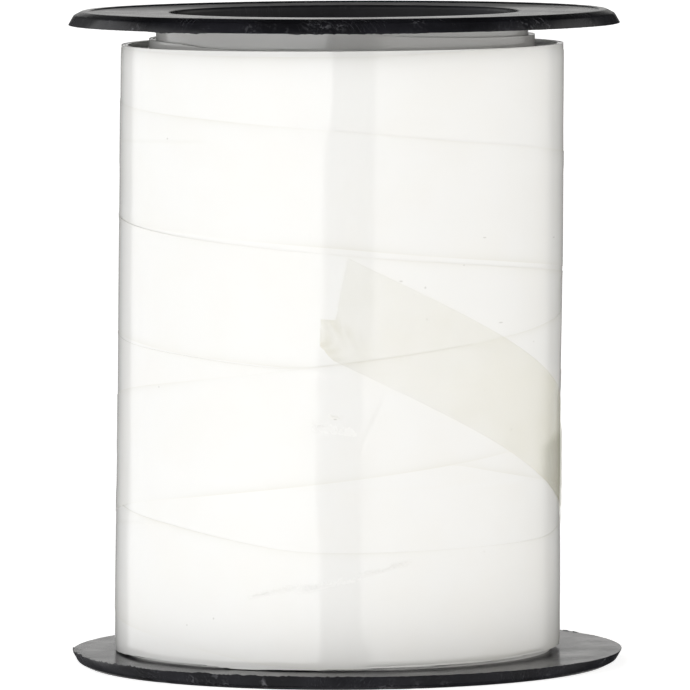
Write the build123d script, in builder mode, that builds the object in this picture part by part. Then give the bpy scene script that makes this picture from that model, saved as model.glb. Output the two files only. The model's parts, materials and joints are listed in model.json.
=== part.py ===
from build123d import *
import math
import os

os.makedirs("parts", exist_ok=True)

# A reel of glossy gift ribbon: two moulded reel halves that snap together in the middle of the hub,
# one long ribbon wound on them in stages, and the taped loose end that peels off first.
# The reel's axis is Z and the lower rim stands on z = 0. The front, where the end is taped down, faces -Y.
# Angles round the reel are in degrees from the front towards +X.

# --- reel halves ---
reel_height = 95.0
flange_diameter = 80.0
bore_diameter = 50.5
hub_wall = 1.25
rim_height = 2.0  # from the side that guides the ribbon to the crest
web_sink = 0.22  # the web's outer face lies this far below the crest
crest_width = 1.0
crest_inset = 2.0  # from the flange's edge to the crest
crease_inset = 0.8  # from the flange's edge to the foot of the bevel
crease_drop = 0.61  # from the crest to the foot of the bevel
crest_slope = 0.2  # how far the step from crest to web leans
crest_round = 1.2
edge_round = 0.2
mouth_round = 0.6

# --- snap joint in the hub ---
spigot_length = 6.0
spigot_wall = 0.6
spigot_clearance = 0.05  # radial
spigot_end_gap = 0.1
spigot_lead = 0.25
bead_drop = 3.0  # from the seam to the snap bead
bead_radius = 0.14
bead_clearance = 0.05

# --- wound ribbon ---
inner_thickness = 0.5
step_thickness = 1.0
step_top_gap = 1.8  # from the upper flange down to the stepped layer
cover_thickness = 0.85
cover_top_gap = 2.8  # from the upper flange down to the cover turns
recess_depth = 0.6  # the main pack lies this far below the cover turns
pack_diameter_top = 64.3
pack_diameter_bottom = 65.0
pack_lean_top = -0.3  # the pack's middle, along X
pack_lean_bottom = -1.4

# --- hidden start tape ---
start_tape_width = 15.0
start_tape_thickness = 0.1
start_tape_from = 150.0
start_tape_to = 190.0

# --- loose end and the tape over it ---
peel_gap = 0.12  # between the cover turns and the loose end
ribbon_width = 16.5
end_thickness = 0.12
end_from = -7.0
end_to = 76.0
end_cut_slant = 6.0  # the upper corner of the cut end runs this many degrees further
end_height = 29.2  # lower edge of the end at the front
end_rise = 0.067  # per degree
tape_width = 15.0
tape_thickness = 0.08
tape_from = -3.0
tape_to = 98.0
tape_height = 54.3  # middle of the tape at the front
tape_fall = 0.277  # per degree
tape_end_slant = 7.0  # how much further to the left the tape's lower corner reaches

# --- derived ---
flange_radius = flange_diameter / 2
bore_radius = bore_diameter / 2
hub_radius = bore_radius + hub_wall
seam_height = reel_height / 2
lower_face = rim_height
upper_face = reel_height - rim_height
crest_outer = flange_radius - crest_inset
crest_inner = crest_outer - crest_width
spigot_radius = bore_radius + spigot_wall
socket_radius = spigot_radius + spigot_clearance
socket_depth = spigot_length + spigot_end_gap
inner_radius = hub_radius + inner_thickness
step_radius = inner_radius + step_thickness
step_top = upper_face - step_top_gap
cover_top = upper_face - cover_top_gap
pack_top = cover_top - recess_depth
pack_radius_top = pack_diameter_top / 2
pack_radius_bottom = pack_diameter_bottom / 2
patch_radius = (pack_radius_top + pack_radius_bottom) / 2
patch_facing = (end_from + tape_to) / 2
degree_length = math.radians(patch_radius)


def radial_plane(angle):
    """Plane through the axis: local x points outwards at this angle and local y is up."""
    outwards = Vector(math.sin(math.radians(angle)), -math.cos(math.radians(angle)), 0)
    return Plane(origin=(0, 0, 0), x_dir=outwards, z_dir=outwards.cross(Vector(0, 0, 1)))


def facing_plane(angle):
    """Upright plane through the axis, square to this angle: local x runs with rising angles, y is up."""
    outwards = Vector(math.sin(math.radians(angle)), -math.cos(math.radians(angle)), 0)
    return Plane(origin=(0, 0, 0), x_dir=Vector(0, 0, 1).cross(outwards), z_dir=outwards)


def reel_blank():
    """Lower reel half before the snap joint: flange, rim and a plain half of the hub, as one turned section."""
    with BuildPart() as blank:
        with BuildSketch(Plane.XZ) as section:
            with BuildLine():
                Polyline(
                    (bore_radius, seam_height),
                    (bore_radius, web_sink),
                    (crest_inner - crest_slope, web_sink),
                    (crest_inner, 0),
                    (crest_outer, 0),
                    (flange_radius - crease_inset, crease_drop),
                    (flange_radius, lower_face),
                    (hub_radius, lower_face),
                    (hub_radius, seam_height),
                    close=True,
                )
            make_face()
            corners = section.vertices()
            mouth = corners.group_by(Axis.X)[0].sort_by(Axis.Y)[0]
            crest = corners.group_by(Axis.Y)[0].sort_by(Axis.X)[-1]
            edge = corners.sort_by(Axis.X)[-1]
            fillet(mouth, mouth_round)
            fillet(crest, crest_round)
            fillet(edge, edge_round)
        revolve(axis=Axis.Z)
    return blank.part


def wound_pack(skin, top):
    """The wound ribbon's outside as a leaning frustum, skin mm fatter all round, up to this height."""
    share = (top - lower_face) / (cover_top - lower_face)
    lean = pack_lean_bottom + share * (pack_lean_top - pack_lean_bottom)
    radius = pack_radius_bottom + share * (pack_radius_top - pack_radius_bottom)
    with BuildPart() as pack:
        with BuildSketch(Plane.XY.offset(lower_face)):
            with Locations((pack_lean_bottom, 0)):
                Circle(pack_radius_bottom + skin)
        with BuildSketch(Plane.XY.offset(top)):
            with Locations((lean, 0)):
                Circle(radius + skin)
        loft()
    return pack.part


def outside_patch(corners):
    """Upright block whose outline, seen square on, has these corners, each an angle and a height."""
    places = [(patch_radius * math.sin(math.radians(a - patch_facing)), z) for a, z in corners]
    with BuildPart() as block:
        with BuildSketch(facing_plane(patch_facing)):
            with BuildLine():
                Polyline(*places, close=True)
            make_face()
        extrude(amount=flange_radius)
    return block.part


def end_edge(angle):
    """Height of the loose end's lower edge at this angle."""
    return end_height + end_rise * angle


def tape_middle(angle):
    """Height of the tape's middle line at this angle."""
    return tape_height - tape_fall * angle


blank = reel_blank()

with BuildPart() as lower_reel_half:
    add(blank)
    with BuildSketch(Plane.XY.offset(seam_height)):
        Circle(socket_radius)
    extrude(amount=-socket_depth, mode=Mode.SUBTRACT)
    with Locations((0, 0, seam_height - bead_drop)):
        Torus(socket_radius, bead_radius + bead_clearance, mode=Mode.SUBTRACT)
lower_reel_half.part.label = "lower_reel_half"
export_step(lower_reel_half.part, "parts/lower_reel_half.step")

with BuildPart() as upper_reel_half:
    add(blank)
    mirror(about=Plane.XY.offset(seam_height), mode=Mode.REPLACE)
    with BuildSketch(Plane.XY.offset(seam_height)):
        Circle(spigot_radius)
        Circle(bore_radius, mode=Mode.SUBTRACT)
    extrude(amount=-spigot_length)
    spigot_end = upper_reel_half.faces().sort_by(Axis.Z)[0].edges().sort_by(SortBy.RADIUS)[-1]
    chamfer(spigot_end, spigot_lead)
    with Locations((0, 0, seam_height - bead_drop)):
        Torus(spigot_radius, bead_radius)
upper_reel_half.part.label = "upper_reel_half"
export_step(upper_reel_half.part, "parts/upper_reel_half.step")

with BuildPart() as ribbon_start_tape:
    with BuildSketch(radial_plane(start_tape_from)):
        with Locations((hub_radius, seam_height + socket_depth + start_tape_width / 2)):
            Rectangle(start_tape_thickness, start_tape_width, align=(Align.MIN, Align.CENTER))
    revolve(axis=Axis.Z, revolution_arc=start_tape_to - start_tape_from)
ribbon_start_tape.part.label = "ribbon_start_tape"
export_step(ribbon_start_tape.part, "parts/ribbon_start_tape.step")

with BuildPart() as ribbon_inner_layers:
    with BuildSketch(Plane.XY.offset(lower_face)):
        Circle(inner_radius)
        Circle(hub_radius, mode=Mode.SUBTRACT)
    extrude(amount=upper_face - lower_face)
    add(ribbon_start_tape.part, mode=Mode.SUBTRACT)
ribbon_inner_layers.part.label = "ribbon_inner_layers"
export_step(ribbon_inner_layers.part, "parts/ribbon_inner_layers.step")

with BuildPart() as ribbon_stepped_layer:
    with BuildSketch(Plane.XY.offset(lower_face)):
        Circle(step_radius)
        Circle(inner_radius, mode=Mode.SUBTRACT)
    extrude(amount=step_top - lower_face)
ribbon_stepped_layer.part.label = "ribbon_stepped_layer"
export_step(ribbon_stepped_layer.part, "parts/ribbon_stepped_layer.step")

with BuildPart() as ribbon_main_pack:
    add(wound_pack(-cover_thickness, pack_top))
    with BuildSketch(Plane.XY.offset(lower_face)):
        Circle(step_radius)
    extrude(amount=pack_top - lower_face, mode=Mode.SUBTRACT)
ribbon_main_pack.part.label = "ribbon_main_pack"
export_step(ribbon_main_pack.part, "parts/ribbon_main_pack.step")

with BuildPart() as ribbon_cover_turns:
    add(wound_pack(0, cover_top))
    add(wound_pack(-cover_thickness, cover_top), mode=Mode.SUBTRACT)
ribbon_cover_turns.part.label = "ribbon_cover_turns"
export_step(ribbon_cover_turns.part, "parts/ribbon_cover_turns.step")

end_corners = [
    (end_from, end_edge(end_from)),
    (end_to, end_edge(end_to)),
    (end_to + end_cut_slant, end_edge(end_to + end_cut_slant) + ribbon_width),
    (end_from, end_edge(end_from) + ribbon_width),
]
with BuildPart() as ribbon_loose_end:
    add(wound_pack(peel_gap + end_thickness, cover_top))
    add(wound_pack(peel_gap, cover_top), mode=Mode.SUBTRACT)
    add(outside_patch(end_corners), mode=Mode.INTERSECT)
ribbon_loose_end.part.label = "ribbon_loose_end"
export_step(ribbon_loose_end.part, "parts/ribbon_loose_end.step")

tape_rise = tape_width / 2 * math.sqrt(1 + (tape_fall / degree_length) ** 2)  # half its height, upright
tape_corners = [
    (tape_from - tape_end_slant / 2, tape_middle(tape_from - tape_end_slant / 2) - tape_rise),
    (tape_to - tape_end_slant / 2, tape_middle(tape_to - tape_end_slant / 2) - tape_rise),
    (tape_to + tape_end_slant / 2, tape_middle(tape_to + tape_end_slant / 2) + tape_rise),
    (tape_from + tape_end_slant / 2, tape_middle(tape_from + tape_end_slant / 2) + tape_rise),
]
with BuildPart() as clear_end_tape:
    add(wound_pack(peel_gap + end_thickness + tape_thickness, cover_top))
    add(wound_pack(peel_gap + end_thickness, cover_top), mode=Mode.SUBTRACT)
    add(outside_patch(tape_corners), mode=Mode.INTERSECT)
clear_end_tape.part.label = "clear_end_tape"
export_step(clear_end_tape.part, "parts/clear_end_tape.step")
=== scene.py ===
import functools
import json
import math

import bpy
import numpy as np
from bpy.props import FloatProperty, FloatVectorProperty, IntProperty, PointerProperty
from mathutils import Matrix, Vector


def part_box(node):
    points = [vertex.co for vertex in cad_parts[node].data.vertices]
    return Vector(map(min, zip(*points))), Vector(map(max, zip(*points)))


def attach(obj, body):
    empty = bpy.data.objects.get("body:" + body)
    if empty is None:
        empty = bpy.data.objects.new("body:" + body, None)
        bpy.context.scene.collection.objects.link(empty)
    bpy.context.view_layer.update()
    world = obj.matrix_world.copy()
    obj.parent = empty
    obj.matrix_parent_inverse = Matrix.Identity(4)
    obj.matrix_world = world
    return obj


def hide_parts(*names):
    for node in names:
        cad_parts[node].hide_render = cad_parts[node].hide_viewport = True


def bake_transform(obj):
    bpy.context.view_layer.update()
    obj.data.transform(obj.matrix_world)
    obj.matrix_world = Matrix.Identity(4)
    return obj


bl_info = {
    "name": "Ribbon Reel",
    "version": (1, 0, 0),
    "blender": (4, 5, 0),
    "location": "3D View > Sidebar > Ribbon Reel",
    "description": "Builds a reel of glossy gift ribbon with a taped end that peels",
    "category": "Add Mesh",
}

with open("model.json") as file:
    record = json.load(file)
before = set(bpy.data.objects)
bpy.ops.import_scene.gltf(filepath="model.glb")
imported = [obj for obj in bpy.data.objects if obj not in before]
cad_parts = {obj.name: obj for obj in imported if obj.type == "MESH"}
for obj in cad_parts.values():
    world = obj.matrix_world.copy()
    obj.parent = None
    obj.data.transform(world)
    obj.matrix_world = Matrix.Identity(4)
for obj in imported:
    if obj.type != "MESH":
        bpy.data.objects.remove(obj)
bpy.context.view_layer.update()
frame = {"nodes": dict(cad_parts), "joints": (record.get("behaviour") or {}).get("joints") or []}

MM = 0.001
DEGREE = math.pi / 180
FULL_TURN = 2 * math.pi

UPPER_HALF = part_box("upper_reel_half")
LOWER_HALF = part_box("lower_reel_half")
INNER_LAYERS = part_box("ribbon_inner_layers")
STEPPED_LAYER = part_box("ribbon_stepped_layer")
MAIN_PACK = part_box("ribbon_main_pack")
COVER_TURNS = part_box("ribbon_cover_turns")
PEEL_JOINT = frame["joints"][0]

REEL_HEIGHT = UPPER_HALF[1][2]
FLANGE_RADIUS = UPPER_HALF[1][0]
SEAM_HEIGHT = LOWER_HALF[1][2]
SPIGOT_END = UPPER_HALF[0][2]
LOWER_FACE = INNER_LAYERS[0][2]
UPPER_FACE = INNER_LAYERS[1][2]
INNER_RADIUS = INNER_LAYERS[1][0]
STEP_RADIUS = STEPPED_LAYER[1][0]
STEP_TOP = STEPPED_LAYER[1][2]
PACK_TOP = MAIN_PACK[1][2]
COVER_TOP = COVER_TURNS[1][2]

# The winding route: the strip's winding angle in degrees and the height of its upper edge in millimetres. The
# strip dwells at the top, works its way down, dwells at the bottom and climbs back to where its end is taped.
WINDING_ROUTE = (
    (-560, 89.4), (-434, 89.7), (-420, 89.65), (-405, 89.5), (-396, 89.4), (-360, 89.4), (-350, 89.5),
    (-338, 89.75), (-328, 90.0), (-316, 90.1), (-295, 89.9), (-71, 81.5), (-35, 80.3), (1, 78.8), (28, 77.3),
    (66, 75.4),
    (300, 64.2), (361, 61.2), (426, 58.0), (648, 47.6), (676, 46.6), (706, 45.0), (724, 46.1),
    (750, 47.9), (778, 45.1), (800, 43.3), (1007, 23.6), (1032, 22.2), (1046, 21.0), (1068, 19.0),
    (1085, 18.85), (1150, 19.3), (1370, 41.1), (1440, 45.8), (1600, 56.5),
)
ROUTE_SOFTENING = 5 * DEGREE
PEEL_TURN = 1440 * DEGREE  # the winding angle of the front on the last turn
NEVER = 100 * FULL_TURN  # a winding angle past every turn
FILM_PER_DEGREE = 0.565  # mm round the winding for each degree
CRUMPLED = 0.5  # raggedness in mm past which a crease is scuffed
REEL_SEGMENTS = 720
RING_SEGMENTS = 480
NICKS = 46

# Creases in the film and ridges pressed through from under it: first angle and height, last angle and
# height, how far they stand out, half width and raggedness, in degrees and mm, and soiling from 0 to 1
CREASES = (
    (-88, 76.3, -33, 77.2, 0.012, 0.35, 0.1, 0.25),
    (-88, 20.8, -46, 22.6, 0.020, 0.35, 0.2, 0.25),
    (-36, 23.2, 15, 24.0, 0.006, 0.35, 0.1, 0.10),
    (-24, 12.3, -8, 14.4, 0.030, 0.35, 0.9, 0.10),
    (-12, 13.2, 8, 15.6, 0.030, 0.55, 0.9, 0.05),
    (4, 15.4, 20, 17.6, 0.030, 0.30, 0.8, 0.25),
    (-8, 36.9, 6, 35.9, 0.035, 0.80, 0.6, 0.00),
    (-3, 38.3, 1, 38.1, 0.040, 0.35, 0.6, 0.60),
    (4.6, 32.5, 12.5, 42.0, 0.020, 1.20, 0.3, 0.00),
    (-3, 21.9, 4, 22.6, 0.030, 0.60, 1.6, 0.00),
    (1, 19.9, 5, 20.4, 0.030, 0.40, 1.2, 0.00),
    (10, 41.9, 46, 42.2, 0.010, 0.45, 0.4, 0.12),
    (60, 21.5, 84, 23.0, 0.030, 0.45, 0.9, 0.15),
    (100, 64.0, 150, 60.0, 0.012, 0.35, 0.3, 0.20),
    (118, 14.0, 160, 18.0, 0.020, 0.40, 1.2, 0.15),
    (-160, 34.0, -125, 39.0, 0.015, 0.35, 0.5, 0.20),
    (-168, 71.5, -98, 72.4, 0.012, 0.40, 0.1, 0.20),
)

# Edges that lie pressed down, as first and last winding angle in degrees
PRESSED_EDGES = ((-90, -10), (635, 790), (1360, 1530))

# The gap under the winding's foot: angle from the front in degrees and height in mm
FOOT_GAP = (
    (-180, 0.15), (-82, 0.10), (-64, 0.38), (-38, 0.34), (-27, 0.02), (-8, 0.12), (10, 0.28), (45, 0.48),
    (75, 0.75), (110, 0.5), (180, 0.15),
)

# Dust and small marks on the film: angle in degrees, height, half length round the reel and half width in mm
MARKS = (
    (-50.5, 77.4, 0.20, 0.14), (-1, 38.0, 0.30, 0.12), (31.8, 28.4, 0.20, 0.18), (40, 41.5, 0.16, 0.14),
    (15.5, 57.5, 0.30, 0.14), (22, 56.5, 0.18, 0.18), (22.5, 52, 0.14, 0.18), (19, 55.5, 0.12, 0.12),
    (39.5, 63.3, 0.34, 0.10), (45.3, 51.0, 0.50, 0.12), (33, 59.5, 0.14, 0.12), (72, 62.4, 0.5, 0.12),
)

# Upright bends in the winding's round: angle and half width in degrees, drop, lowest and highest height in mm
BENDS = (
    (6.3, 1.6, 0.042, 2, 52), (-3.2, 1.6, -0.040, 76, 95), (-6.2, 1.5, -0.030, 2, 13),
    (-5.6, 1.5, 0.016, 18, 52), (58, 3, 0.03, 14, 60), (112, 4, 0.06, 5, 80), (171, 3, 0.05, 20, 95),
    (226, 4, -0.05, 2, 60), (-62, 4, 0.03, 2, 45),
)

# The torn end of the tape: share of the width from the upper edge, and how far in from straight in mm
TAPE_END = ((0, 0.5), (0.375, 0.8), (0.62, 1.2), (0.68, -0.95), (0.93, 0.0), (1, 2.4))

# The upper edge of the stepped layer: angle from the front in degrees, height and radius in mm
STEP_EDGE = (
    (0, 92.6, 27.05), (20, 91.95, 27.5), (36, 91.65, 27.9), (72, 91.4, 28), (180, 91.2, 28), (275, 90.95, 28),
    (304, 90.7, 28), (314, 90.3, 28), (327, 90.1, 28), (338, 89.7, 28), (348, 89.6, 27.05), (360, 92.6, 27.05),
)

# The studio's soft boxes: angle from the camera's side in degrees, and brightness
STUDIO = (
    (-180, 0.60), (-175, 0.60), (-169, 0.02), (-142, 0.17), (-136, 0.92), (-100, 1.36), (-45, 2.16),
    (-9.6, 2.18), (-8.0, 0.585), (16.4, 0.585), (18.0, 1.65), (60, 1.52), (80, 1.48), (124, 0.72), (134, 0.42),
    (141, 0.02), (170, 0.02), (176, 0.60), (180, 0.60),
)

# Moulding flash on the flanges' edges: first and last angle in degrees, and share of the full height
LOWER_FLASH = ((-95, -45, 1.3), (-52, 5, 0.8), (-8, 60, 0.35), (120, 150, 0.6))
UPPER_FLASH = ((-12, 18, 0.6), (-45, -28, 0.8), (95, 130, 0.6))


# ---------------------------------------------------------------- settings


def length(name, description, size):
    """A setting for a length, given in millimetres."""
    return FloatProperty(name=name, description=description, default=size * MM, unit="LENGTH", precision=6)


def turn(name, description, size):
    """A setting for an angle, given in degrees."""
    return FloatProperty(name=name, description=description, default=size * DEGREE, subtype="ANGLE")


def colour(name, description, default):
    """A setting for a colour."""
    return FloatVectorProperty(name=name, description=description, default=default, subtype="COLOR")


class ReelSettings(bpy.types.PropertyGroup):
    """Sizes and colours of the moulded reel halves."""

    bore_radius: length("Bore radius", "Radius of the hub's bore", 25.25)
    hub_wall: length("Hub wall", "Thickness of the hub's wall", 1.25)
    web_sink: length("Web sink", "Depth of the web under the crest", 0.22)
    crest_inset: length("Crest inset", "From the edge in to the crest", 2)
    crest_width: length("Crest width", "Width of the flat crest ring", 1)
    crease_inset: length("Bevel inset", "From the edge in to the bevel's foot", 0.8)
    crease_drop: length("Bevel drop", "From the crest down to the bevel's foot", 0.61)
    spigot_wall: length("Spigot wall", "Wall of the snap joint's spigot", 0.6)
    flash_height: length("Flash", "Height of the ragged moulding flash", 0.42)
    nick_depth: length("Nick depth", "Depth of the deepest nicks in the rims", 0.22)
    plastic_colour: colour("Plastic", "Colour of the moulded plastic", (0.0065, 0.0065, 0.0078))
    whitened_colour: colour("Whitening", "Colour of bruised plastic", (0.12, 0.12, 0.13))


class RibbonSettings(bpy.types.PropertyGroup):
    """Sizes and colours of the wound ribbon."""

    width: length("Width", "Width of the ribbon", 16.6)
    thickness: length("Thickness", "Thickness of the ribbon", 0.055)
    pack_radius_low: length("Low radius", "Radius of the winding at its foot", 32.42)
    pack_radius_high: length("High radius", "Radius of the winding at its top", 32.12)
    lean_low: length("Low lean", "Sideways lean of the winding at its foot", -1.45)
    lean_high: length("High lean", "Sideways lean of the winding at its top", -0.30)
    under_depth: length("Under depth", "Depth of the under layers below the nominal size", 0.06)
    rim_width: length("Rim width", "Width of the raised outer rim of the winding", 0.85)
    tent: length("Tent", "How far the film spans beside an edge under it", 1.1)
    unevenness: length("Unevenness", "Size of the slow waves in the winding", 0.055)
    film_colour: colour("Film", "Colour of the lacquered film", (0.727, 0.726, 0.713))
    edge_colour: colour("Edge", "Colour of the film's cut edges", (0.735, 0.73, 0.70))


class TapeSettings(bpy.types.PropertyGroup):
    """Sizes and colours of the tape over the loose end, and of the loose end itself."""

    width: length("Width", "Width of the tape", 15.2)
    length: length("Length", "Length of the tape", 64)
    thickness: length("Thickness", "Thickness of the tape", 0.05)
    height: length("Height", "Height of the tape's middle at the front", 54.3)
    slope: turn("Slope", "How steeply the tape runs down to the right", 26.2)
    start: turn("Start", "Angle of the tape's first end from the front", -2.2)
    ribbon_end: turn("Ribbon end", "Angle of the ribbon's cut end from the front", 76)
    ribbon_slant: turn("Cut slant", "Extra angle of the cut end's upper corner", 6)
    film_colour: colour("Film", "Colour of the slightly yellow tape", (0.64, 0.60, 0.33))


class StageSettings(bpy.types.PropertyGroup):
    """Camera and light."""

    distance: length("Distance", "From the reel's axis to the camera", 1344)
    height: length("Height", "Height of the camera", 142.6)
    tilt: turn("Tilt", "Downward tilt of the camera", 4.10)
    roll: turn("Roll", "Roll of the camera", -0.28)
    lens: FloatProperty(name="Lens", description="Focal length in millimetres", default=483.9)
    light: FloatProperty(name="Light", description="Strength of the soft boxes", default=1.33)
    floor_glow: FloatProperty(name="Floor glow", description="Light through the floor", default=0.84)
    floor_colour: colour("Floor", "Colour of the floor", (0.93, 0.93, 0.93))


class RibbonReelSettings(bpy.types.PropertyGroup):
    """All settings of the ribbon reel."""

    reel: PointerProperty(type=ReelSettings)
    ribbon: PointerProperty(type=RibbonSettings)
    tape: PointerProperty(type=TapeSettings)
    stage: PointerProperty(type=StageSettings)
    seed: IntProperty(name="Seed", description="Seed of the unevenness, nicks and flash", default=11)


# ---------------------------------------------------------------- mesh helpers


def smooth_step(x):
    """0 below 0, 1 above 1, and 3x^2 - 2x^3 between."""
    x = np.clip(x, 0, 1)
    return x * x * (3 - 2 * x)


def placed(angle, radius, height, shift=0.0):
    """Points at an angle from the front (-Y) towards +X, round a middle that is shifted along X."""
    angle, radius, height, shift = np.broadcast_arrays(angle, radius, height, shift)
    return np.stack((shift + radius * np.sin(angle), -radius * np.cos(angle), height), axis=-1)


def grid_faces(rows, columns, start=0, wrap_rows=False, wrap_columns=False):
    """Quads of a grid of points, as (a, b, c, d) rows of point numbers that start at start."""
    r = np.arange(rows if wrap_rows else rows - 1)
    c = np.arange(columns if wrap_columns else columns - 1)
    r, c = np.meshgrid(r, c, indexing="ij")
    r2, c2 = (r + 1) % rows, (c + 1) % columns
    quads = np.stack((r * columns + c, r * columns + c2, r2 * columns + c2, r2 * columns + c), axis=-1)
    return quads.reshape(-1, 4) + start


def make_object(name, points, quads, uvs=None, sharp=None, route=None, **values):
    """A mesh object of these quads, its faces outwards, with per-point uvs, route and other values."""
    a, b, c, d = (points[quads[:, k]] for k in range(4))
    volume = np.sum(np.cross(b - a, c - a) * a) + np.sum(np.cross(c - a, d - a) * a)
    if volume < 0:
        quads = quads[:, ::-1]
    mesh = bpy.data.meshes.new(name)
    mesh.vertices.add(len(points))
    mesh.vertices.foreach_set("co", points.astype(np.float32).ravel())
    mesh.loops.add(quads.size)
    mesh.loops.foreach_set("vertex_index", quads.astype(np.int32).ravel())
    mesh.polygons.add(len(quads))
    mesh.polygons.foreach_set("loop_start", np.arange(0, quads.size, 4, dtype=np.int32))
    mesh.polygons.foreach_set("use_smooth", np.ones(len(quads), dtype=bool))
    mesh.update(calc_edges=True)
    for label, pairs in (("Surface", uvs), ("Route", route)):
        if pairs is not None:
            layer = mesh.uv_layers.new(name=label)
            layer.uv.foreach_set("vector", pairs[quads.ravel()].astype(np.float32).ravel())
    for key, value in values.items():
        attribute = mesh.attributes.new(key, "FLOAT", "POINT")
        attribute.data.foreach_set("value", np.asarray(value, np.float32).ravel())
    if sharp:
        mesh.set_sharp_from_angle(angle=sharp)
    mesh.validate()
    made = bpy.data.objects.new(name, mesh)
    bpy.context.scene.collection.objects.link(made)
    return made


def film_object(name, outer, inner, uvs, route, **values):
    """A thin closed film between two grids of points, (rows, columns, 3), joined round their border.

    route is each point's winding angle in degrees and height in mm.
    """
    rows, columns = outer.shape[:2]
    count = rows * columns
    number = np.arange(count).reshape(rows, columns)
    border = np.concatenate((number[0, :-1], number[:-1, -1], number[-1, :0:-1], number[:0:-1, 0]))
    after = np.roll(border, -1)
    sides = np.stack((border, after, after + count, border + count), axis=-1)
    front = grid_faces(rows, columns)
    back = grid_faces(rows, columns, start=count)[:, ::-1]
    points = np.concatenate((outer.reshape(-1, 3), inner.reshape(-1, 3)))
    both = {key: np.tile(value.ravel(), 2) for key, value in values.items()}
    uvs, route = (np.tile(pairs.reshape(-1, 2), (2, 1)) for pairs in (uvs, route))
    return make_object(name, points, np.concatenate((front, sides, back)), uvs, 50 * DEGREE, route, **both)


def rounded_outline(corners, radii, longest):
    """A closed outline with its corners rounded by arcs, and its straight stretches split to at most longest.

    Each arc is the quadratic curve from one tangent point to the other, with the corner as its control point.
    """
    corners = np.array(corners, float)
    outline = []
    for number, corner in enumerate(corners):
        before, after = corners[number - 1] - corner, corners[(number + 1) % len(corners)] - corner
        reach = min(radii[number], 0.45 * np.hypot(*before), 0.45 * np.hypot(*after))
        first = corner + before / np.hypot(*before) * reach
        last = corner + after / np.hypot(*after) * reach
        t = np.linspace(0, 1, 6 if radii[number] > 0.3 * MM else 4)[:, None]
        outline.append((1 - t) ** 2 * first + 2 * t * (1 - t) * corner + t**2 * last)
    outline = np.concatenate(outline)
    pieces = []
    for start, end in zip(outline, np.roll(outline, -1, axis=0)):
        steps = max(1, math.ceil(np.hypot(*(end - start)) / longest))
        pieces.append(start + (end - start) * np.linspace(0, 1, steps, endpoint=False)[:, None])
    return np.concatenate(pieces)


def ragged(count, random, passes):
    """Seeded noise from 0 to 1 round a circle, evened out by that many passes of a 1-2-1 average."""
    values = random.random(count)
    for _ in range(passes):
        values = (np.roll(values, 1) + 2 * values + np.roll(values, -1)) / 4
    low, high = values.min(), values.max()
    return (values - low) / (high - low)


# ---------------------------------------------------------------- the wound surface


def wave_set(random, count, around, upwards, weakest):
    """Seeded waves, one to a row: repeats round the reel, rate up the reel, phase and strength."""
    return np.stack(
        (
            random.integers(*around, count),
            random.uniform(-upwards, upwards, count),
            random.uniform(0, FULL_TURN, count),
            random.uniform(weakest, 1.0, count),
        ),
        axis=-1,
    )


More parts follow.
